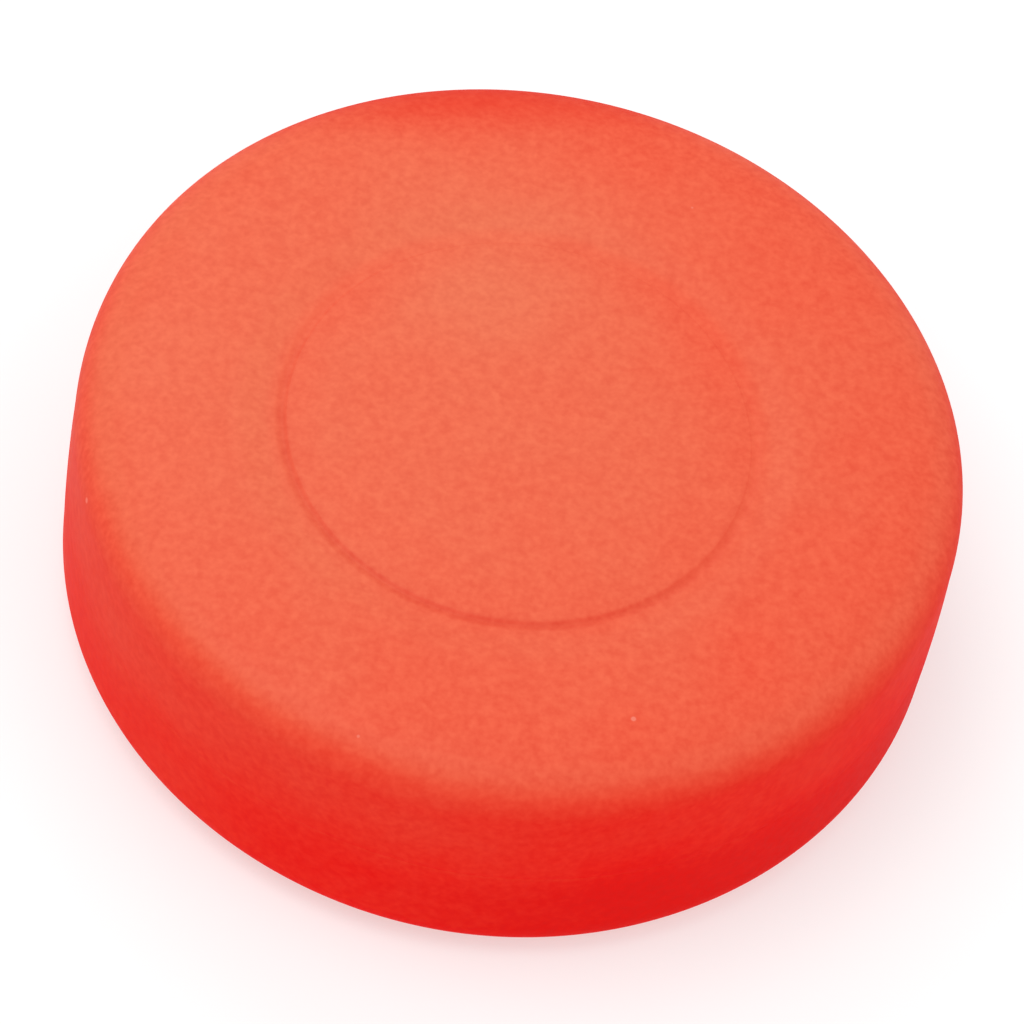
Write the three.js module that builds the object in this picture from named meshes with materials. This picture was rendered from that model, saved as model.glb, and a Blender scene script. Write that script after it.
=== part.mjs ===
// A case opening friction ball: a squat, air-filled ball of soft red rubber with two flat gripping faces.
// It is pressed on a watch's screw back and turned, so that its tacky rubber unscrews the back.
// Millimetres, +Z up. The origin is the centre of the surface that the ball stands on.
// Every piece is a solid of revolution, drawn as an outline of (radius, height) points, counter-clockwise.
// Heights in the outlines are measured from the middle plane, where the two moulded halves meet.
import * as THREE from 'three';

// Driving dimensions
const DIAMETER = 65;
const THICKNESS = 21.5;
const SEGMENTS = 64;
const CORNER_STEPS = 10;
const RISE_STEPS = 4;

// Outside of a half: from the crease round the face disc, over the crest and shoulder, to the middle plane
const CREASE_RADIUS = 17.2;
const CREASE_HALF_WIDTH = 0.4;
const CREASE_DEPTH = 0.3;
const FACE_RECESS = 0.3;
const CREST_INNER_RADIUS = 21.5;
const CREST_OUTER_RADIUS = 23;
const SHOULDER_DROP = 5;
const SHOULDER_ROUNDNESS = 3.5;
const WALL_BULGE = 0.1;

// Inside of a half
const WALL_THICKNESS = 3.2;
const ROOF_THICKNESS = 3.6;
const STRAIGHT_WALL_HEIGHT = 3.6;
const INNER_CORNER_REACH = 5;
const INNER_CORNER_ROUNDNESS = 2;

// Face disc: it drops into the half's opening, and its flange is bonded under the opening's lip
const FLANGE_RADIUS = 20.8;
const FLANGE_THICKNESS = 1.4;
const FLANGE_ROUND = 0.6;

// Self-sealing plug in a boss inside the lower face disc, where the filling needle goes through
const BOSS_RADIUS = 6;
const BOSS_HEIGHT = 3.6;
const PLUG_RADIUS = 3;
const PLUG_SEAT_DEPTH = 6.2;
const PLUG_CROWN = 0.8;
const NEEDLE_DIMPLE_RADIUS = 0.7;
const NEEDLE_DIMPLE_DEPTH = 0.5;

// Strip that bridges the joint between the halves on the inside
const STRIP_HALF_HEIGHT = 3.3;
const STRIP_THICKNESS = 1.2;
const STRIP_BEVEL = 0.8;

const halfThickness = THICKNESS / 2;
const wallRadius = DIAMETER / 2;
const cavityRadius = wallRadius - WALL_THICKNESS;
const roofHeight = halfThickness - ROOF_THICKNESS;
const faceHeight = halfThickness - FACE_RECESS;
const flangeHeight = roofHeight - FLANGE_THICKNESS;

const rubberRed = { color: 0xe8402a, roughness: 0.85, metalness: 0 };
const bondRed = { color: 0xb8301f, roughness: 0.9, metalness: 0 };
const plugBlack = { color: 0x2a2726, roughness: 0.8, metalness: 0 };

function point(radius, height) {
  return new THREE.Vector2(radius, height);
}

// A quarter of a superellipse about a centre, from its widest point round to its top
function softCorner(centreRadius, centreHeight, reach, drop, roundness) {
  const points = [];
  for (let step = 0; step <= CORNER_STEPS; step += 1) {
    const angle = (Math.PI / 2) * (step / CORNER_STEPS);
    const across = step === CORNER_STEPS ? 0 : Math.cos(angle) ** (2 / roundness);
    const up = Math.sin(angle) ** (2 / roundness);
    points.push(point(centreRadius + reach * across, centreHeight + drop * up));
  }
  return points;
}

// The lip's smooth rise, listed from the crest down to the edge of the crease
function lipFromCrest() {
  const lowRadius = CREASE_RADIUS + CREASE_HALF_WIDTH;
  const points = [];
  for (let step = 0; step < RISE_STEPS; step += 1) {
    const along = 1 - step / RISE_STEPS;
    const rise = along * along * (3 - 2 * along);
    const radius = lowRadius + (CREST_INNER_RADIUS - lowRadius) * along;
    points.push(point(radius, faceHeight + FACE_RECESS * rise));
  }
  points.push(point(lowRadius, faceHeight));
  return points;
}

// One moulded half: side wall, shoulder and crest outside, and a rounded cavity inside
function halfOutline() {
  const shoulderWidest = wallRadius - WALL_BULGE;
  const shoulder = softCorner(
    CREST_OUTER_RADIUS,
    halfThickness - SHOULDER_DROP,
    shoulderWidest - CREST_OUTER_RADIUS,
    SHOULDER_DROP,
    SHOULDER_ROUNDNESS,
  );
  const cavityCorner = softCorner(
    cavityRadius - INNER_CORNER_REACH,
    STRAIGHT_WALL_HEIGHT,
    INNER_CORNER_REACH,
    roofHeight - STRAIGHT_WALL_HEIGHT,
    INNER_CORNER_ROUNDNESS,
  ).reverse();
  return [
    point(wallRadius, 0),
    ...shoulder,
    ...lipFromCrest(),
    point(CREASE_RADIUS, faceHeight - CREASE_DEPTH),
    point(CREASE_RADIUS, roofHeight),
    ...cavityCorner,
    point(cavityRadius, 0),
  ];
}

// The rim of a face disc: round the flange, up the opening's wall and over the crease to the face
function discRim() {
  return [
    point(FLANGE_RADIUS - FLANGE_ROUND, flangeHeight),
    point(FLANGE_RADIUS, flangeHeight + FLANGE_ROUND),
    point(FLANGE_RADIUS, roofHeight),
    point(CREASE_RADIUS, roofHeight),
    point(CREASE_RADIUS, faceHeight - CREASE_DEPTH),
    point(CREASE_RADIUS - CREASE_HALF_WIDTH, faceHeight),
  ];
}

function plainDiscOutline() {
  return [point(0, flangeHeight), ...discRim(), point(0, faceHeight)];
}

// The lower disc before it is turned over: the boss stands on its inner side, with the plug's seat in it
function bossedDiscOutline() {
  const bossEnd = flangeHeight - BOSS_HEIGHT;
  const seatFloor = bossEnd + PLUG_SEAT_DEPTH;
  return [
    point(0, seatFloor),
    point(PLUG_RADIUS, seatFloor),
    point(PLUG_RADIUS, bossEnd),
    point(BOSS_RADIUS, bossEnd),
    point(BOSS_RADIUS, flangeHeight),
    ...discRim(),
    point(NEEDLE_DIMPLE_RADIUS, faceHeight),
    point(0, faceHeight - NEEDLE_DIMPLE_DEPTH),
  ];
}

function plugOutline() {
  const bossEnd = flangeHeight - BOSS_HEIGHT;
  const seatFloor = bossEnd + PLUG_SEAT_DEPTH;
  return [
    point(0, bossEnd - PLUG_CROWN),
    point(PLUG_RADIUS / 2, bossEnd - PLUG_CROWN),
    point(PLUG_RADIUS, bossEnd),
    point(PLUG_RADIUS, seatFloor),
    point(0, seatFloor),
  ];
}

function stripOutline() {
  const inner = cavityRadius - STRIP_THICKNESS;
  return [
    point(cavityRadius, -STRIP_HALF_HEIGHT),
    point(cavityRadius, STRIP_HALF_HEIGHT),
    point(inner, STRIP_HALF_HEIGHT - STRIP_BEVEL),
    point(inner, STRIP_BEVEL - STRIP_HALF_HEIGHT),
  ];
}

// The same outline for the lower side of the ball, still counter-clockwise
function turnedOver(outline) {
  return outline.map((corner) => point(corner.x, -corner.y)).reverse();
}

// Spins an outline about Z; an outline that doesn't lie on the axis closes on itself
function revolvedPiece(name, outline, look) {
  const onAxis = outline[0].x === 0;
  const profile = onAxis ? outline : [...outline, outline[0].clone()];
  const geometry = new THREE.LatheGeometry(profile, SEGMENTS);
  geometry.rotateX(Math.PI / 2);
  const piece = new THREE.Mesh(geometry, new THREE.MeshStandardMaterial(look));
  piece.name = name;
  return piece;
}

const ball = new THREE.Group();
ball.position.z = halfThickness;
ball.add(
  revolvedPiece('upper_shell', halfOutline(), rubberRed),
  revolvedPiece('lower_shell', turnedOver(halfOutline()), rubberRed),
  revolvedPiece('upper_face_disc', plainDiscOutline(), rubberRed),
  revolvedPiece('lower_face_disc', turnedOver(bossedDiscOutline()), rubberRed),
  revolvedPiece('joint_strip', stripOutline(), bondRed),
  revolvedPiece('valve_plug', turnedOver(plugOutline()), plugBlack),
);

const frictionBall = new THREE.Group();
frictionBall.add(ball);

export default frictionBall;
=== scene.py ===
"""The case opening friction ball: a squat, air-filled ball of matte red-orange rubber.

Each rubber piece is a fine solid of revolution that stands for its CAD node.
Lengths are in metres. Heights in the outlines are measured from the ball's middle plane.
"""

import math

import bpy
import numpy as np
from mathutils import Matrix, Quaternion, Vector


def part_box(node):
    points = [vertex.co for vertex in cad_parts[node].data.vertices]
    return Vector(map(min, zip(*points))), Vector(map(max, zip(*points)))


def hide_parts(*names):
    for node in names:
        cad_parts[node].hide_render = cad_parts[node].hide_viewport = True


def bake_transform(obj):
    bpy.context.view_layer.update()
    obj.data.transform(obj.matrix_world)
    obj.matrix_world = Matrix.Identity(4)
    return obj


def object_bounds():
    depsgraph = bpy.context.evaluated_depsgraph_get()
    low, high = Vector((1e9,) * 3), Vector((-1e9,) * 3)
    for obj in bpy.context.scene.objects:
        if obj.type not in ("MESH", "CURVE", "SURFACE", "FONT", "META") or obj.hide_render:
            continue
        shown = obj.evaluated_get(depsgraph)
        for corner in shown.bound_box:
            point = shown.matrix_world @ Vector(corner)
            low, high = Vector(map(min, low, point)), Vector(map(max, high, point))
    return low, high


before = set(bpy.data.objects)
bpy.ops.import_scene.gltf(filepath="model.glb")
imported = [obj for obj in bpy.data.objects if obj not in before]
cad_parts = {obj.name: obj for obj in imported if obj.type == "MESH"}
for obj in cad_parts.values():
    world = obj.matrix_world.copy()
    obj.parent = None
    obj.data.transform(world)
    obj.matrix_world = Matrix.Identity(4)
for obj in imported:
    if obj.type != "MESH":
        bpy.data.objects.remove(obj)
cad_low, cad_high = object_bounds()

MM = 0.001

# Driving sizes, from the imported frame
RADIUS = (cad_high.x - cad_low.x) / 2
HALF_HEIGHT = (cad_high.z - cad_low.z) / 2
FLANGE_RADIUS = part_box("upper_face_disc")[1].x
FACE_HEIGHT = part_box("upper_face_disc")[1].z - HALF_HEIGHT
FLANGE_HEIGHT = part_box("upper_face_disc")[0].z - HALF_HEIGHT
STRIP_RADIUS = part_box("joint_strip")[1].x
STRIP_HALF_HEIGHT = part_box("joint_strip")[1].z - HALF_HEIGHT
PLUG_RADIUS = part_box("valve_plug")[1].x
PLUG_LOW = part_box("valve_plug")[0].z - HALF_HEIGHT
PLUG_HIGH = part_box("valve_plug")[1].z - HALF_HEIGHT
BOSS_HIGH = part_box("lower_face_disc")[1].z - HALF_HEIGHT

# Outside of a half
CREASE_RADIUS = 17.2 * MM
CREASE_WIDTH = 0.6 * MM
CREASE_DEPTH = 0.1 * MM
LIP_RADIUS = 20.6 * MM
LIP_RISE = 0.22 * MM
CREST_RADIUS = 22.5 * MM
SHOULDER_DROP = 5.0 * MM
SHOULDER_ROUNDNESS = 3.5
WALL_BULGE = 0.1 * MM
PARTING_GROOVE = 0.015 * MM
PARTING_HALF_WIDTH = 0.12 * MM

# Inside of a half
CAVITY_RADIUS = STRIP_RADIUS
ROOF_HEIGHT = HALF_HEIGHT - 3.6 * MM
STRAIGHT_WALL_HEIGHT = 3.6 * MM
INNER_CORNER_REACH = 5.0 * MM
INNER_CORNER_ROUNDNESS = 2.0

# The face discs and the small pieces
FLANGE_ROUND = 0.6 * MM
FLANGE_CORNER_CUT = 0.3 * FLANGE_ROUND
DISC_STEP = 0.06 * MM
DISC_EDGE_WIDTH = 0.5 * MM
DISC_CROWN = 0.22 * MM
BOSS_RADIUS = 6.0 * MM
NEEDLE_DIMPLE_RADIUS = 0.7 * MM
NEEDLE_DIMPLE_DEPTH = 0.45 * MM
STRIP_THICKNESS = 1.2 * MM
STRIP_BEVEL = 0.8 * MM

# The crease's open side, turned from -Y towards -X, and how open the opposite side still is
CREASE_TURN = math.radians(12)
CREASE_FAR_SHARE = 0.05

# The discs and creases sit a little off the ball's axis, as bonded by hand: the shift is full
# inside the first radius and has faded out at the second
CREASE_OFFSET = (-0.3 * MM, -1.0 * MM)
OFFSET_FULL_RADIUS = 21.0 * MM
OFFSET_END_RADIUS = 30.0 * MM

# Waves of the side wall: how many round it, their size in metres, their phase and their lean
WALL_WAVES = (
    (2, 0.08 * MM, 1.3, 0.0),
    (3, 0.06 * MM, -0.7, 0.4),
    (5, 0.035 * MM, 0.5, -0.6),
)

# Fineness of the solids
SEGMENTS = 256
WALL_STEPS = 12
SHOULDER_STEPS = 40
LIP_STEPS = 18
CREASE_STEPS = 8
DISC_EDGE_STEPS = 10
DISC_FACE_STEPS = 24
INNER_CORNER_STEPS = 10
DIMPLE_STEPS = 6
PLUG_DOME_STEPS = 8
ROUNDING = 0.001 * MM
SHARP_EDGE = math.radians(40)


def smooth(t):
    """A smooth step from 0 to 1."""
    t = min(1.0, max(0.0, t))
    return t * t * (3 - 2 * t)


# ---------------------------------------------------------------- outlines

def soft_corner(centre_radius, centre_height, reach, drop, roundness, steps):
    """A quarter of a superellipse, from its widest point round to its top."""
    points = []
    for step in range(steps + 1):
        angle = math.pi / 2 * step / steps
        across = max(0.0, math.cos(angle)) ** (2 / roundness)
        up = math.sin(angle) ** (2 / roundness)
        points.append((centre_radius + reach * across, centre_height + drop * up))
    return points


def wall():
    """The side wall from the shallow parting groove up to the shoulder, with a slight barrel."""
    widest_height = HALF_HEIGHT - SHOULDER_DROP
    points = [(RADIUS - PARTING_GROOVE, 0.0), (RADIUS, PARTING_HALF_WIDTH)]
    for step in range(1, WALL_STEPS):
        height = widest_height * step / WALL_STEPS
        points.append((RADIUS - WALL_BULGE * (height / widest_height) ** 2, height))
    return points


def shoulder():
    """From the wall round and over the annulus, which is crowned up to its crest."""
    return soft_corner(
        centre_radius=CREST_RADIUS,
        centre_height=HALF_HEIGHT - SHOULDER_DROP,
        reach=RADIUS - WALL_BULGE - CREST_RADIUS,
        drop=SHOULDER_DROP,
        roundness=SHOULDER_ROUNDNESS,
        steps=SHOULDER_STEPS,
    )


def lip():
    """From the crest gently down to the crease, and into its bottom against the disc's edge."""
    low_radius = CREASE_RADIUS + CREASE_WIDTH
    lip_fall = HALF_HEIGHT - FACE_HEIGHT - LIP_RISE
    points = []
    for step in range(1, LIP_STEPS + 1):
        radius = CREST_RADIUS + (low_radius - CREST_RADIUS) * step / LIP_STEPS
        crest_share = smooth((CREST_RADIUS - radius) / (CREST_RADIUS - low_radius))
        lip_share = smooth((LIP_RADIUS - radius) / (LIP_RADIUS - low_radius))
        points.append((radius, HALF_HEIGHT - lip_fall * crest_share - LIP_RISE * lip_share))
    for step in range(1, CREASE_STEPS + 1):
        along = step / CREASE_STEPS
        radius = low_radius - CREASE_WIDTH * along
        points.append((radius, FACE_HEIGHT - CREASE_DEPTH * smooth(along)))
    return points


def half_outline():
    """One moulded half: its outside, then the opening's wall and the rounded cavity."""
    cavity_corner = soft_corner(
        centre_radius=CAVITY_RADIUS - INNER_CORNER_REACH,
        centre_height=STRAIGHT_WALL_HEIGHT,
        reach=INNER_CORNER_REACH,
        drop=ROOF_HEIGHT - STRAIGHT_WALL_HEIGHT,
        roundness=INNER_CORNER_ROUNDNESS,
        steps=INNER_CORNER_STEPS,
    )
    return [
        *wall(),
        *shoulder(),
        *lip(),
        (CREASE_RADIUS, ROOF_HEIGHT),
        *reversed(cavity_corner),
        (CAVITY_RADIUS, 0.0),
    ]


def disc_edge():
    """The disc's edge from the bottom of the crease softly up on to its face."""
    points = []
    for step in range(DISC_EDGE_STEPS + 1):
        along = step / DISC_EDGE_STEPS
        rise = (DISC_STEP + CREASE_DEPTH) * smooth(along) - CREASE_DEPTH
        points.append((CREASE_RADIUS - DISC_EDGE_WIDTH * along, FACE_HEIGHT + rise))
    return points


def disc_rim():
    """Round the flange, up the opening's wall and over the disc's edge."""
    return [
        (FLANGE_RADIUS - FLANGE_ROUND, FLANGE_HEIGHT),
        (FLANGE_RADIUS - FLANGE_CORNER_CUT, FLANGE_HEIGHT + FLANGE_CORNER_CUT),
        (FLANGE_RADIUS, FLANGE_HEIGHT + FLANGE_ROUND),
        (FLANGE_RADIUS, ROOF_HEIGHT),
        (CREASE_RADIUS, ROOF_HEIGHT),
        *disc_edge(),
    ]


def disc_height(radius):
    """The face's height at a radius: nearly flat in the middle, falling off towards its edge."""
    share = radius / (CREASE_RADIUS - DISC_EDGE_WIDTH)
    return FACE_HEIGHT + DISC_STEP + DISC_CROWN * (1 - share**4)


def disc_face(inner_radius):
    """The face from its edge in towards the middle."""
    edge = CREASE_RADIUS - DISC_EDGE_WIDTH
    points = []
    for step in range(1, DISC_FACE_STEPS + 1):
        radius = edge + (inner_radius - edge) * step / DISC_FACE_STEPS
        points.append((radius, disc_height(radius)))
    return points


def needle_dimple():
    """The small hollow that the filling needle leaves in the middle of the lower disc."""
    points = []
    for step in range(1, DIMPLE_STEPS + 1):
        radius = NEEDLE_DIMPLE_RADIUS * (1 - step / DIMPLE_STEPS)
        depth = NEEDLE_DIMPLE_DEPTH * smooth(step / DIMPLE_STEPS)
        points.append((radius, disc_height(radius) - depth))
    return points


def plain_disc_outline():
    return [(0.0, FLANGE_HEIGHT), *disc_rim(), *disc_face(0.0)]


def bossed_disc_outline():
    """The lower disc before it is turned over, with the plug's seat open to the inside."""
    boss_end = -BOSS_HIGH
    seat_floor = -PLUG_LOW
    return [
        (0.0, seat_floor),
        (PLUG_RADIUS, seat_floor),
        (PLUG_RADIUS, boss_end),
        (BOSS_RADIUS - FLANGE_ROUND, boss_end),
        (BOSS_RADIUS, boss_end + FLANGE_ROUND),
        (BOSS_RADIUS, FLANGE_HEIGHT),
        *disc_rim(),
        *disc_face(NEEDLE_DIMPLE_RADIUS),
        *needle_dimple(),
    ]


def plug_outline():
    """The plug before it is turned over: its domed end faces the cavity."""
    dome_height = PLUG_HIGH - BOSS_HIGH
    dome = []
    for step in range(PLUG_DOME_STEPS + 1):
        angle = math.pi / 2 * step / PLUG_DOME_STEPS
        dome.append((PLUG_RADIUS * math.sin(angle), -BOSS_HIGH - dome_height * math.cos(angle)))
    return [*dome, (PLUG_RADIUS, -PLUG_LOW), (0.0, -PLUG_LOW)]


def strip_outline():
    """The inner strip's section, bevelled on the side that faces the cavity."""
    inner = STRIP_RADIUS - STRIP_THICKNESS
    return [
        (STRIP_RADIUS, -STRIP_HALF_HEIGHT),
        (STRIP_RADIUS, STRIP_HALF_HEIGHT),
        (inner, STRIP_HALF_HEIGHT - STRIP_BEVEL),
        (inner, STRIP_BEVEL - STRIP_HALF_HEIGHT),
    ]


def turned_over(outline):
    """The same outline for the lower side of the ball."""
    return [(radius, -height) for radius, height in reversed(outline)]


# ---------------------------------------------------------------- solids

def part_fill_crease(points, radius, angle):
    """Fills the crease a little on its open side, and almost up to the face opposite."""
    below_face = FACE_HEIGHT - np.abs(points[:, 2])
    in_crease = (below_face > 0) & (below_face < CREASE_DEPTH + ROUNDING)
    in_crease &= np.abs(radius - CREASE_RADIUS) < CREASE_WIDTH
    towards_open_side = (1 - np.sin(angle + CREASE_TURN)) / 2
    openness = CREASE_FAR_SHARE + (1 - CREASE_FAR_SHARE) * towards_open_side
    fill = np.where(in_crease, below_face * (1 - openness), 0)
    points[:, 2] += np.sign(points[:, 2]) * fill


def wave_wall(points, radius, angle):
    """Pushes the wall out and in by a little, and less towards the axis."""
    height = points[:, 2] / HALF_HEIGHT
    wave = 0
    for count, size, phase, lean in WALL_WAVES:
        wave = wave + size * np.cos(count * angle + phase + lean * height)
    outward = np.clip((radius - OFFSET_FULL_RADIUS) / (RADIUS - OFFSET_FULL_RADIUS), 0, 1)
    stretch = 1 + wave * outward / np.maximum(radius, MM)
    points[:, :2] *= stretch[:, None]


def shift_crease(points, radius):
    """Moves everything near the axis by the crease's offset, and nothing at the wall."""
    inward = np.clip((OFFSET_END_RADIUS - radius) / (OFFSET_END_RADIUS - OFFSET_FULL_RADIUS), 0, 1)
    shift = inward * inward * (3 - 2 * inward)
    points[:, 0] += CREASE_OFFSET[0] * shift
    points[:, 1] += CREASE_OFFSET[1] * shift


def hand_made(points):
    """Soft rubber is never quite true, so its crease and wall stray a little from the outline."""
    points = np.array(points)
    radius = np.hypot(points[:, 0], points[:, 1])
    angle = np.arctan2(points[:, 1], points[:, 0])
    part_fill_crease(points, radius, angle)
    wave_wall(points, radius, angle)
    shift_crease(points, radius)
    return points


def ring_faces(low, high):
    """The faces between two rings of vertices; a ring of one vertex lies on the axis."""
    faces = []
    for segment in range(SEGMENTS):
        after = (segment + 1) % SEGMENTS
        if len(low) == 1:
            faces.append((low[0], high[after], high[segment]))
        elif len(high) == 1:
            faces.append((low[segment], low[after], high[0]))
        else:
            faces.append((low[segment], low[after], high[after], high[segment]))
    return faces


def revolved(name, outline):
    """A closed solid of revolution about Z, from an outline that may begin and end on the axis."""
    vertices, rings = [], []
    for radius, height in outline:
        count = SEGMENTS if radius > ROUNDING else 1
        rings.append(range(len(vertices), len(vertices) + count))
        for segment in range(count):
            angle = 2 * math.pi * segment / SEGMENTS
            vertices.append((radius * math.cos(angle), radius * math.sin(angle), height))
    pairs = list(zip(rings, rings[1:]))
    begins_off_axis = len(rings[0]) > 1
    if begins_off_axis:
        pairs.append((rings[-1], rings[0]))
    faces = [face for low, high in pairs for face in ring_faces(low, high)]
    vertices = hand_made(vertices)
    vertices[:, 2] += HALF_HEIGHT
    mesh = bpy.data.meshes.new(name)
    mesh.from_pydata(vertices.tolist(), [], faces)
    mesh.validate()
    piece = bpy.data.objects.new(name, mesh)
    bpy.context.scene.collection.objects.link(piece)
    return piece


def shade_smooth(piece):
    """Smooth shading that keeps the sharp edges where bonded pieces meet."""
    bpy.context.view_layer.objects.active = piece
    piece.select_set(True)
    bpy.ops.object.shade_smooth_by_angle(angle=SHARP_EDGE)
    piece.select_set(False)


# ---------------------------------------------------------------- materials

class Nodes:
    """Short calls for building a material's node tree."""

    def __init__(self, name):
        self.material = bpy.data.materials.new(name)
        self.material.use_nodes = True
        self.tree = self.material.node_tree
        self.shader = next(n for n in self.tree.nodes if n.type == "BSDF_PRINCIPLED")
        coordinates = self.add("ShaderNodeTexCoord")
        self.place = coordinates.outputs["Object"]
        self.normal = coordinates.outputs["Normal"]

    def add(self, kind, **settings):
        node = self.tree.nodes.new(kind)
        for name, value in settings.items():
            setattr(node, name, value)
        return node

    def link(self, source, target):
        self.tree.links.new(source, target)

    def drive(self, socket, source):
        """Leads a value or colour to one of the shader's sockets."""
        self.link(source, self.shader.inputs[socket])

    def fix(self, values):
        """Sets sockets of the shader to values that are the same all over."""
        for socket, value in values.items():
            self.shader.inputs[socket].default_value = value

    def noise(self, scale, detail=2.0, roughness=0.5):
        node = self.add("ShaderNodeTexNoise")
        self.link(self.place, node.inputs["Vector"])
        node.inputs["Scale"].default_value = scale
        node.inputs["Detail"].default_value = detail
        node.inputs["Roughness"].default_value = roughness
        return node.outputs["Fac"]

    def spread(self, value, low, high, to_low, to_high, interpolation="SMOOTHSTEP"):
        """Turns values from low to high into values from to_low to to_high."""
        node = self.add("ShaderNodeMapRange", interpolation_type=interpolation)
        node.inputs["From Min"].default_value = low
        node.inputs["From Max"].default_value = high
        node.inputs["To Min"].default_value = to_low
        node.inputs["To Max"].default_value = to_high
        self.link(value, node.inputs["Value"])
        return node.outputs["Result"]

    def varied(self, noise, to_low, to_high, usual=(0.2, 0.8)):
        """Spreads a noise from the range it usually keeps to a lowest and a highest value."""
        return self.spread(noise, *usual, to_low, to_high)

    def math(self, operation, first, second):
        node = self.add("ShaderNodeMath", operation=operation)
        for socket, value in zip(node.inputs, (first, second)):
            if isinstance(value, (int, float)):
                socket.default_value = value
            else:
                self.link(value, socket)
        return node.outputs["Value"]

    def times(self, first, second):
        return self.math("MULTIPLY", first, second)

    def plus(self, first, second):
        return self.math("ADD", first, second)

    def mix(self, share, first, second):
        """A colour from the first to the second as the share goes from 0 to 1."""
        node = self.add("ShaderNodeMix", data_type="RGBA")
        self.link(share, node.inputs["Factor"])
        colour_sockets = [s for s in node.inputs if s.type == "RGBA"]
        for socket, value in zip(colour_sockets, (first, second)):
            if isinstance(value, tuple):
                socket.default_value = (*value, 1.0)
            else:
                self.link(value, socket)
        return next(s for s in node.outputs if s.type == "RGBA")

    def along(self, source, direction):
        """How far a place or a normal reaches along a direction."""
        node = self.add("ShaderNodeVectorMath", operation="DOT_PRODUCT")
        self.link(source, node.inputs[0])
        node.inputs[1].default_value = direction
        return node.outputs["Value"]

    def distance(self, centre, scale=(1.0, 1.0, 0.0)):
        """The distance from a centre, with each direction scaled by its own factor."""
        away = self.add("ShaderNodeVectorMath", operation="SUBTRACT")
        self.link(self.place, away.inputs[0])
        away.inputs[1].default_value = centre
        scaled = self.add("ShaderNodeVectorMath", operation="MULTIPLY")
        self.link(away.outputs["Vector"], scaled.inputs[0])
        scaled.inputs[1].default_value = scale
        length = self.add("ShaderNodeVectorMath", operation="LENGTH")
        self.link(scaled.outputs["Vector"], length.inputs[0])
        return length.outputs["Value"]

    def scaled(self, colour, factor):
        """A colour made lighter or darker by a factor."""
        node = self.add("ShaderNodeVectorMath", operation="SCALE")
        self.link(colour, node.inputs[0])
        self.link(factor, node.inputs["Scale"])
        return node.outputs["Vector"]

    def specks(self, scale, size, rarity):
        """Rare round dust specks: 1 on a speck and 0 elsewhere."""
        cells = self.add("ShaderNodeTexVoronoi")
        self.link(self.place, cells.inputs["Vector"])
        cells.inputs["Scale"].default_value = scale
        near = self.spread(cells.outputs["Distance"], size / 2, size, 1.0, 0.0)
        chosen = self.add("ShaderNodeSeparateColor")
        self.link(cells.outputs["Color"], chosen.inputs["Color"])
        return self.times(near, self.math("GREATER_THAN", chosen.outputs["Red"], rarity))

    def bump(self, height, distance, strength=1.0, below=None):
        node = self.add("ShaderNodeBump")
        node.inputs["Strength"].default_value = strength
        node.inputs["Distance"].default_value = distance
        self.link(height, node.inputs["Height"])
        if below is not None:
            self.link(below, node.inputs["Normal"])
        return node.outputs["Normal"]


# Directions and centres on the ball
ACROSS = (1.0, 0.0, 0.0)
UP = (0.0, 0.0, 1.0)
BALL_CENTRE = (0.0, 0.0, 0.0)
RING_CENTRE = (*CREASE_OFFSET, 0.0)
FAR_SIDE = (-0.26, 0.97, 0.0)
CREASE_OPEN_SIDE = (-0.20, -0.98, 0.0)

# Bloom turns the red rubber orange: it is partly a chalky film and partly painted light, the upper
# faces lighter as light falls from above. 0 is bare, and about 1 is a full face
WALL_RED = (0.86, 0.0055, 0.0035)
FACE_ORANGE = (0.76, 0.158, 0.0715)
FACE_ORANGE_SHARE = 0.8

# It goes by how upright the surface is, which paints the faces lighter than the wall: 1 faces up, 0
# is a wall and -1 faces down
UPPER_BLOOM_AND_LIGHT_SLOPES = (-0.25, 0.98)
UPPER_BLOOM_AND_LIGHT_POWER = 1.4
LOWER_BLOOM_SLOPES = (-0.99, -0.80)

# A painted highlight of the lamps' haze: it thins out away from a place, by the square of the
# distance times these factors
PAINTED_HAZE_CENTRE = (-15 * MM, 1 * MM, 0.0)
PAINTED_HAZE_FADE = (11.0, 16.0, 0.0)

# Painted shade on the far arc of the rim: less bloom there, and the rubber a little darker
SHADED_FAR_RIM = (25 * MM, 32 * MM)
FAR_RIM_SHADE_ON_BLOOM = 0.40
FAR_RIM_SHADE_ON_TONE = 0.90

# Rings that add or take bloom, in millimetres: start, full from, full to, end, and strength.
# The disc's margin gets painted shade, only towards the far side, and the lip and the shoulder get
# painted highlights
MARGIN_SHADE_RING = (12.5, 16.8, 17.3, 18.5, -0.09)
MARGIN_SHADE_FADE = (-14 * MM, 4 * MM)
LIP_HIGHLIGHT_RING = (17.8, 18.8, 19.4, 21.5, 0.04)
SHOULDER_HIGHLIGHT_RING = (29.0, 30.6, 30.9, 32.2, 0.08)

# Patches that add or take bloom on the faces, in millimetres: x, y, radius, and strength.
# Those that add paint the highlight of the lamps' haze, and those that take are darker patches
HIGHLIGHT_AND_DARK_PATCHES = (
    (-4, 13.5, 15, 0.21),
    (26, 14, 8, 0.08),
    (18, -16, 5, -0.07),
    (-8, 26, 8, -0.04),
)

# Painted light and shade on the wall: by height above the floor, darker low down and lighter up,
# and by how far the wall faces +X, lighter on -X and darker on +X
WALL_SLOPES_FROM_BELOW = (-0.9, -0.4)
WALL_SLOPES_TO_SHOULDER = (0.2, 0.75)
WALL_LIGHT_HEIGHTS = (7 * MM, 16 * MM)
WALL_LIGHT_BY_HEIGHT = (-0.03, 0.11)
WALL_LIGHT_SIDES = (-0.95, 0.6)
WALL_LIGHT_BY_SIDE = (0.12, -0.06)

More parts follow.
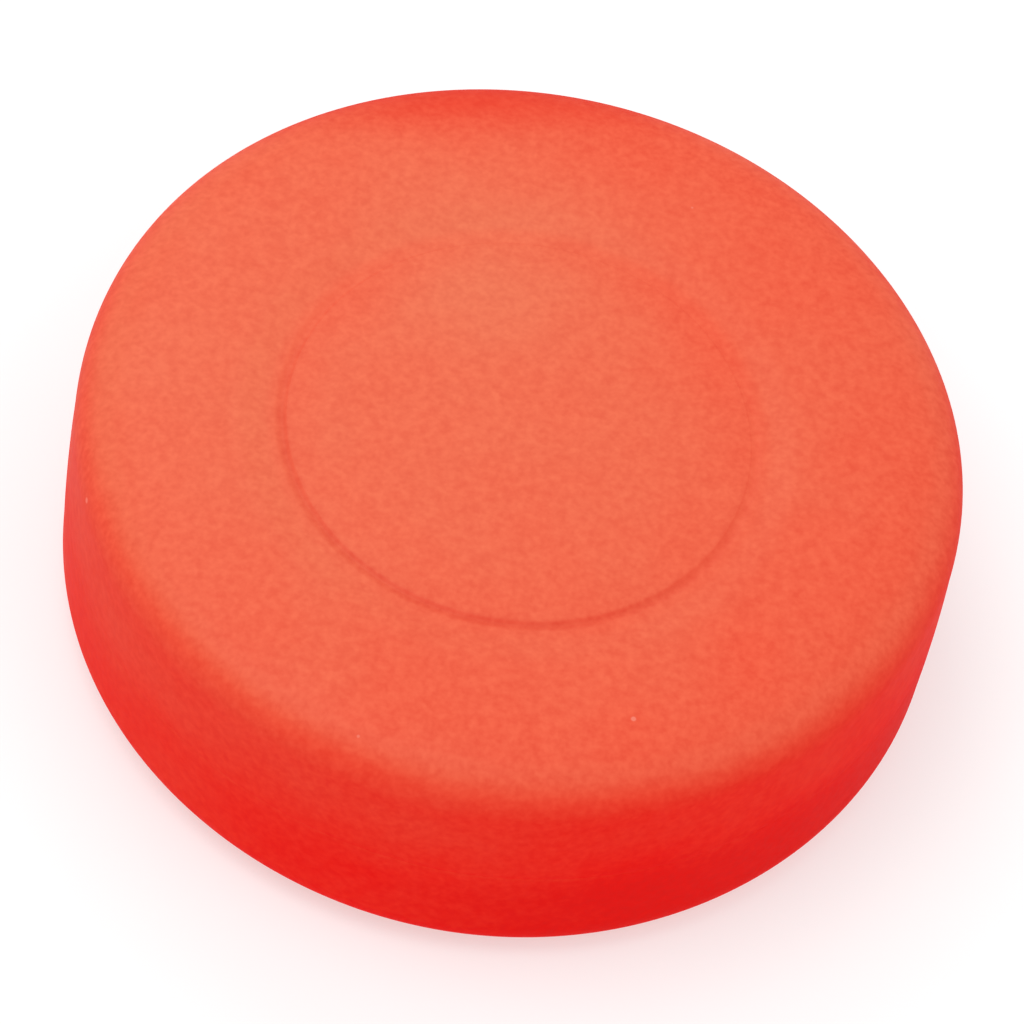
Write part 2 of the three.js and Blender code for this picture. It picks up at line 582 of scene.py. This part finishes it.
# Painted shade in the crease: its ring, where it fades in towards the open side, and what it takes
# away
CREASE_SHADE_RING = (16.5, 17.1, 17.2, 17.8, 1.0)
CREASE_SHADE_FADE = (-8 * MM, 14 * MM)
CREASE_SHADE_ON_BLOOM = 0.16
CREASE_SHADE_ON_TONE = 0.08

# The largest dust specks, on the upper face and shoulder: x, y, radius in millimetres, and strength
SPECK_PINK = (0.90, 0.32, 0.24)
DUST_SPECKS = (
    (11.5, -24, 0.24, 0.45),
    (-7, -29.5, 0.15, 0.3),
    (-29.5, -13, 0.28, 0.4),
    (9, 22, 0.12, 0.3),
)

# Grain: two fine noises make the mottle, which is weaker where there is little bloom and painted
# light, and a coarse noise makes soft blotches
GRAIN_SCALE = 2300
CLOUD_SCALE = 1200
MOTTLE = 0.06
MOTTLE_BY_BLOOM_AND_LIGHT = (0.1, 0.8, 0.6, 1.0)
MOTTLE_ON_SHADE = 0.55
BLOTCH_SCALE = 110
BLOTCH = 0.035
UNEVEN_SCALE = 420

# Finish: the roughness follows the grain, and the coat follows the bloom
ROUGHNESS = (0.66, 0.82)
COAT_FULL = 0.42
MATTE_FINISH = {
    "Specular IOR Level": 0.04,
    "Coat Roughness": 0.45,
    "Sheen Weight": 0.025,
    "Sheen Roughness": 0.3,
}
GRAIN_DEPTH = 0.015 * MM
UNEVEN_DEPTH = 0.03 * MM


def top_height(x, y):
    """The height of the upper face or shoulder above the floor, at a place in metres."""
    across = max(0.0, math.hypot(x, y) - CREST_RADIUS) / (RADIUS - WALL_BULGE - CREST_RADIUS)
    up = (1 - across**SHOULDER_ROUNDNESS) ** (1 / SHOULDER_ROUNDNESS)
    return 2 * HALF_HEIGHT - SHOULDER_DROP * (1 - up)


def ring_band(n, distance, start, full_from, full_to, end, amount):
    """A ring of an amount that fades in and out with a distance; its radii are in millimetres."""
    fade_in = n.spread(distance, start * MM, full_from * MM, 0.0, amount)
    return n.times(fade_in, n.spread(distance, full_to * MM, end * MM, 1.0, 0.0))


def far_rim_shade(n, shaded_share):
    """1 all over, and down to a share on the far arc of the rim, for painted shade there."""
    return n.spread(n.along(n.place, FAR_SIDE), *SHADED_FAR_RIM, 1.0, shaded_share)


def wall_painted_light(n):
    """Painted light and shade on the side wall: lighter below the shoulder and on the -X side,
    darker by the floor and on the +X side.
    """
    upright = n.along(n.normal, UP)
    above_foot = n.spread(upright, *WALL_SLOPES_FROM_BELOW, 0.0, 1.0)
    below_shoulder = n.spread(upright, *WALL_SLOPES_TO_SHOULDER, 1.0, 0.0)
    height_light = n.spread(n.along(n.place, UP), *WALL_LIGHT_HEIGHTS, *WALL_LIGHT_BY_HEIGHT)
    side = n.spread(n.along(n.normal, ACROSS), *WALL_LIGHT_SIDES, *WALL_LIGHT_BY_SIDE)
    return n.times(n.plus(height_light, side), n.times(above_foot, below_shoulder))


def crease_shade(n):
    """How much painted shade darkens the crease: most on the side where it is open."""
    share = n.spread(n.along(n.place, CREASE_OPEN_SIDE), *CREASE_SHADE_FADE, 0.0, 1.0)
    return n.times(ring_band(n, n.distance(RING_CENTRE), *CREASE_SHADE_RING), share)


def bloom_and_painted_light(n):
    """How chalky and how lit the rubber is painted: full on the faces, fading away from a painted
    highlight, and off the wall.
    """
    upright = n.along(n.normal, UP)
    # The faces are painted lighter than the wall, partly as light from above
    rising = n.spread(upright, *UPPER_BLOOM_AND_LIGHT_SLOPES, 0.0, 1.0, interpolation="LINEAR")
    upper = n.math("POWER", rising, UPPER_BLOOM_AND_LIGHT_POWER)
    lower = n.spread(upright, *LOWER_BLOOM_SLOPES, 1.0, 0.0)
    # A painted highlight of the lamps' haze, fading away from one place
    fade = n.distance(PAINTED_HAZE_CENTRE, PAINTED_HAZE_FADE)
    bloom = n.times(n.plus(upper, lower), n.math("SUBTRACT", 1.0, n.times(fade, fade)))
    # Painted shade on the far rim, and painted light and shade on the wall
    bloom = n.plus(n.times(bloom, far_rim_shade(n, FAR_RIM_SHADE_ON_BLOOM)), wall_painted_light(n))

    # Painted shade on the disc's margin towards the far side, and painted highlights on the lip and
    # the shoulder
    ring = n.distance(RING_CENTRE)
    towards_far = n.spread(n.along(n.place, FAR_SIDE), *MARGIN_SHADE_FADE, 0.0, 1.0)
    margin = n.times(ring_band(n, ring, *MARGIN_SHADE_RING), towards_far)
    lip_highlight = ring_band(n, ring, *LIP_HIGHLIGHT_RING)
    shoulder_highlight = ring_band(n, n.distance(BALL_CENTRE), *SHOULDER_HIGHLIGHT_RING)
    for extra in (margin, lip_highlight, shoulder_highlight):
        bloom = n.plus(bloom, extra)
    # Painted highlights of the lamps' haze, and darker patches
    for x, y, radius, amount in HIGHLIGHT_AND_DARK_PATCHES:
        away = n.distance((x * MM, y * MM, 0.0))
        bloom = n.plus(bloom, n.spread(away, 0.0, radius * MM, amount, 0.0))
    return bloom


def dust(n):
    """How much of a place is dust: a few rare specks, and the largest ones on the upper face."""
    speck = n.specks(scale=380, size=0.05, rarity=0.997)
    for x, y, radius, amount in DUST_SPECKS:
        centre = (x * MM, y * MM, top_height(x * MM, y * MM))
        away = n.distance(centre, scale=(1.0, 1.0, 1.0))
        spot = n.spread(away, radius * MM / 2, radius * MM, amount, 0.0)
        speck = n.math("MAXIMUM", speck, spot)
    return speck


def rubber(name):
    """Matte moulded rubber: deep red on the wall, and orange on the faces from a chalky film and
    from painted light.
    """
    n = Nodes(name)
    bloom_and_light = bloom_and_painted_light(n)
    crease_shading = crease_shade(n)
    grain = n.noise(GRAIN_SCALE, detail=1.5)
    cloud = n.noise(CLOUD_SCALE, detail=1.5)
    mottle = n.plus(n.varied(grain, -MOTTLE, MOTTLE), n.varied(cloud, -MOTTLE, MOTTLE))
    mottle = n.times(mottle, n.spread(bloom_and_light, *MOTTLE_BY_BLOOM_AND_LIGHT))
    blotch = n.varied(n.noise(BLOTCH_SCALE), -BLOTCH, BLOTCH, usual=(0.3, 0.7))
    bloom = n.plus(bloom_and_light, n.plus(blotch, mottle))
    # Painted shade in the crease takes away bloom
    bloom = n.math("SUBTRACT", bloom, n.times(crease_shading, CREASE_SHADE_ON_BLOOM))
    bloom = n.times(bloom, FACE_ORANGE_SHARE)

    specked = n.mix(dust(n), n.mix(bloom, WALL_RED, FACE_ORANGE), SPECK_PINK)
    light = n.plus(n.times(mottle, MOTTLE_ON_SHADE), 1.0)
    # Painted shade in the crease
    light = n.math("SUBTRACT", light, n.times(crease_shading, CREASE_SHADE_ON_TONE))
    # Painted shade at the wall's foot and on its +X side
    light = n.plus(light, n.math("MINIMUM", wall_painted_light(n), 0.0))
    # Painted shade on the far rim
    light = n.times(light, far_rim_shade(n, FAR_RIM_SHADE_ON_TONE))
    n.drive("Base Color", n.scaled(specked, light))
    n.drive("Roughness", n.varied(grain, *ROUGHNESS))
    n.drive("Coat Weight", n.spread(bloom, 0.0, 1.0, 0.0, COAT_FULL))
    n.fix(MATTE_FINISH)
    fine = n.bump(grain, GRAIN_DEPTH, strength=0.7)
    n.drive("Normal", n.bump(n.noise(UNEVEN_SCALE), UNEVEN_DEPTH, strength=0.5, below=fine))
    return n.material


def plug_rubber():
    """Soft black rubber with a dusty bloom."""
    n = Nodes("plug_rubber")
    dark, dusty = (0.035, 0.032, 0.030), (0.075, 0.070, 0.066)
    n.drive("Base Color", n.mix(n.noise(900, detail=3.0), dark, dusty))
    n.drive("Roughness", n.varied(n.noise(1500), 0.65, 0.85))
    n.drive("Normal", n.bump(n.noise(2200), distance=0.02 * MM))
    return n.material


def bonding_rubber():
    """Dull, dark red rubber strip, brushed with cement."""
    n = Nodes("bonding_rubber")
    dark, light = (0.30, 0.020, 0.010), (0.48, 0.045, 0.022)
    n.drive("Base Color", n.mix(n.noise(350, detail=4.0, roughness=0.6), dark, light))
    n.drive("Roughness", n.varied(n.noise(700), 0.7, 0.9))
    n.drive("Normal", n.bump(n.noise(800, detail=3.0), distance=0.04 * MM))
    return n.material


# ---------------------------------------------------------------- ball

def soft_piece(name, outline, node, material):
    """A rubber piece that stands for a CAD node."""
    piece = revolved(name, outline)
    shade_smooth(piece)
    piece.data.materials.append(material)
    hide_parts(node)
    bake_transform(piece)


upper_half, lower_half = half_outline(), turned_over(half_outline())
upper_disc, lower_disc = plain_disc_outline(), turned_over(bossed_disc_outline())
plug = turned_over(plug_outline())
body_material = rubber("body_rubber")
face_material = rubber("face_rubber")
soft_piece("upper_half_skin", upper_half, "upper_shell", body_material)
soft_piece("lower_half_skin", lower_half, "lower_shell", body_material)
soft_piece("upper_disc_skin", upper_disc, "upper_face_disc", face_material)
soft_piece("lower_disc_skin", lower_disc, "lower_face_disc", face_material)
soft_piece("joint_strip_skin", strip_outline(), "joint_strip", bonding_rubber())
soft_piece("valve_plug_skin", plug, "valve_plug", plug_rubber())


# ---------------------------------------------------------------- stage

WHITE = (1.0, 1.0, 1.0, 1.0)
FLOOR_SIZE = 6.0
FLOOR_GLOW = 0.46
WORLD_STRENGTH = 0.77
CAMERA_DISTANCE = 0.44004
CAMERA_ELEVATION = math.radians(53.911)
CAMERA_ROLL = math.radians(11.397)
CAMERA_AIM = Vector((0.36 * MM, -0.80 * MM, HALF_HEIGHT))
SENSOR_WIDTH = 36.0
LENS = 210.94
CLIP_NEAR = 0.01
CLIP_FAR = 20.0

# Softboxes: name, place, width in metres and power in watts
LIGHT_TARGET = Vector((0, 0, 0.01))
SOFTBOXES = (
    ("haze_softbox", (-0.07, 0.13, 0.21), 0.10, 0.055),
    ("key_softbox", (-0.16, -0.05, 0.54), 0.35, 0.90),
    ("fill_softbox", (0.24, -0.12, 0.40), 0.25, 0.13),
)


def floor_paper():
    """Pale matte paper that gives off some light of its own, so that it stays nearly white."""
    n = Nodes("floor_paper")
    dark, light = (0.55, 0.55, 0.55), (0.57, 0.57, 0.57)
    n.drive("Base Color", n.mix(n.noise(40), dark, light))
    n.fix({"Emission Color": WHITE, "Emission Strength": FLOOR_GLOW})
    n.fix({"Roughness": 0.9, "Specular IOR Level": 0.0})
    return n.material


def make_floor():
    half = FLOOR_SIZE / 2
    mesh = bpy.data.meshes.new("floor")
    corners = [(-half, -half, 0), (half, -half, 0), (half, half, 0), (-half, half, 0)]
    mesh.from_pydata(corners, [], [(0, 1, 2, 3)])
    mesh.materials.append(floor_paper())
    floor = bpy.data.objects.new("floor", mesh)
    bpy.context.scene.collection.objects.link(floor)


def make_softbox(name, place, width, power):
    """A square lamp that points at the ball."""
    light = bpy.data.lights.new(name, "AREA")
    light.shape = "SQUARE"
    light.size = width
    light.energy = power
    lamp = bpy.data.objects.new(name, light)
    lamp.location = place
    lamp.rotation_mode = "QUATERNION"
    lamp.rotation_quaternion = (LIGHT_TARGET - Vector(place)).to_track_quat("-Z", "Y")
    bpy.context.scene.collection.objects.link(lamp)


def make_camera():
    """A long lens on the -Y side that looks down on the ball, rolled a little."""
    data = bpy.data.cameras.new("camera")
    data.sensor_width = SENSOR_WIDTH
    data.lens = LENS
    data.clip_start = CLIP_NEAR
    data.clip_end = CLIP_FAR
    camera = bpy.data.objects.new("camera", data)
    back = Vector((0, -math.cos(CAMERA_ELEVATION), math.sin(CAMERA_ELEVATION)))
    camera.location = CAMERA_AIM + back * CAMERA_DISTANCE
    camera.rotation_mode = "QUATERNION"
    level = (-back).to_track_quat("-Z", "Y")
    camera.rotation_quaternion = level @ Quaternion((0, 0, 1), CAMERA_ROLL)
    bpy.context.scene.collection.objects.link(camera)
    bpy.context.scene.camera = camera


def make_world():
    world = bpy.data.worlds.new("studio")
    world.use_nodes = True
    background = world.node_tree.nodes["Background"]
    background.inputs["Color"].default_value = WHITE
    background.inputs["Strength"].default_value = WORLD_STRENGTH
    bpy.context.scene.world = world


make_floor()
make_camera()
make_world()
for softbox in SOFTBOXES:
    make_softbox(*softbox)
bpy.context.scene.view_settings.view_transform = "Standard"
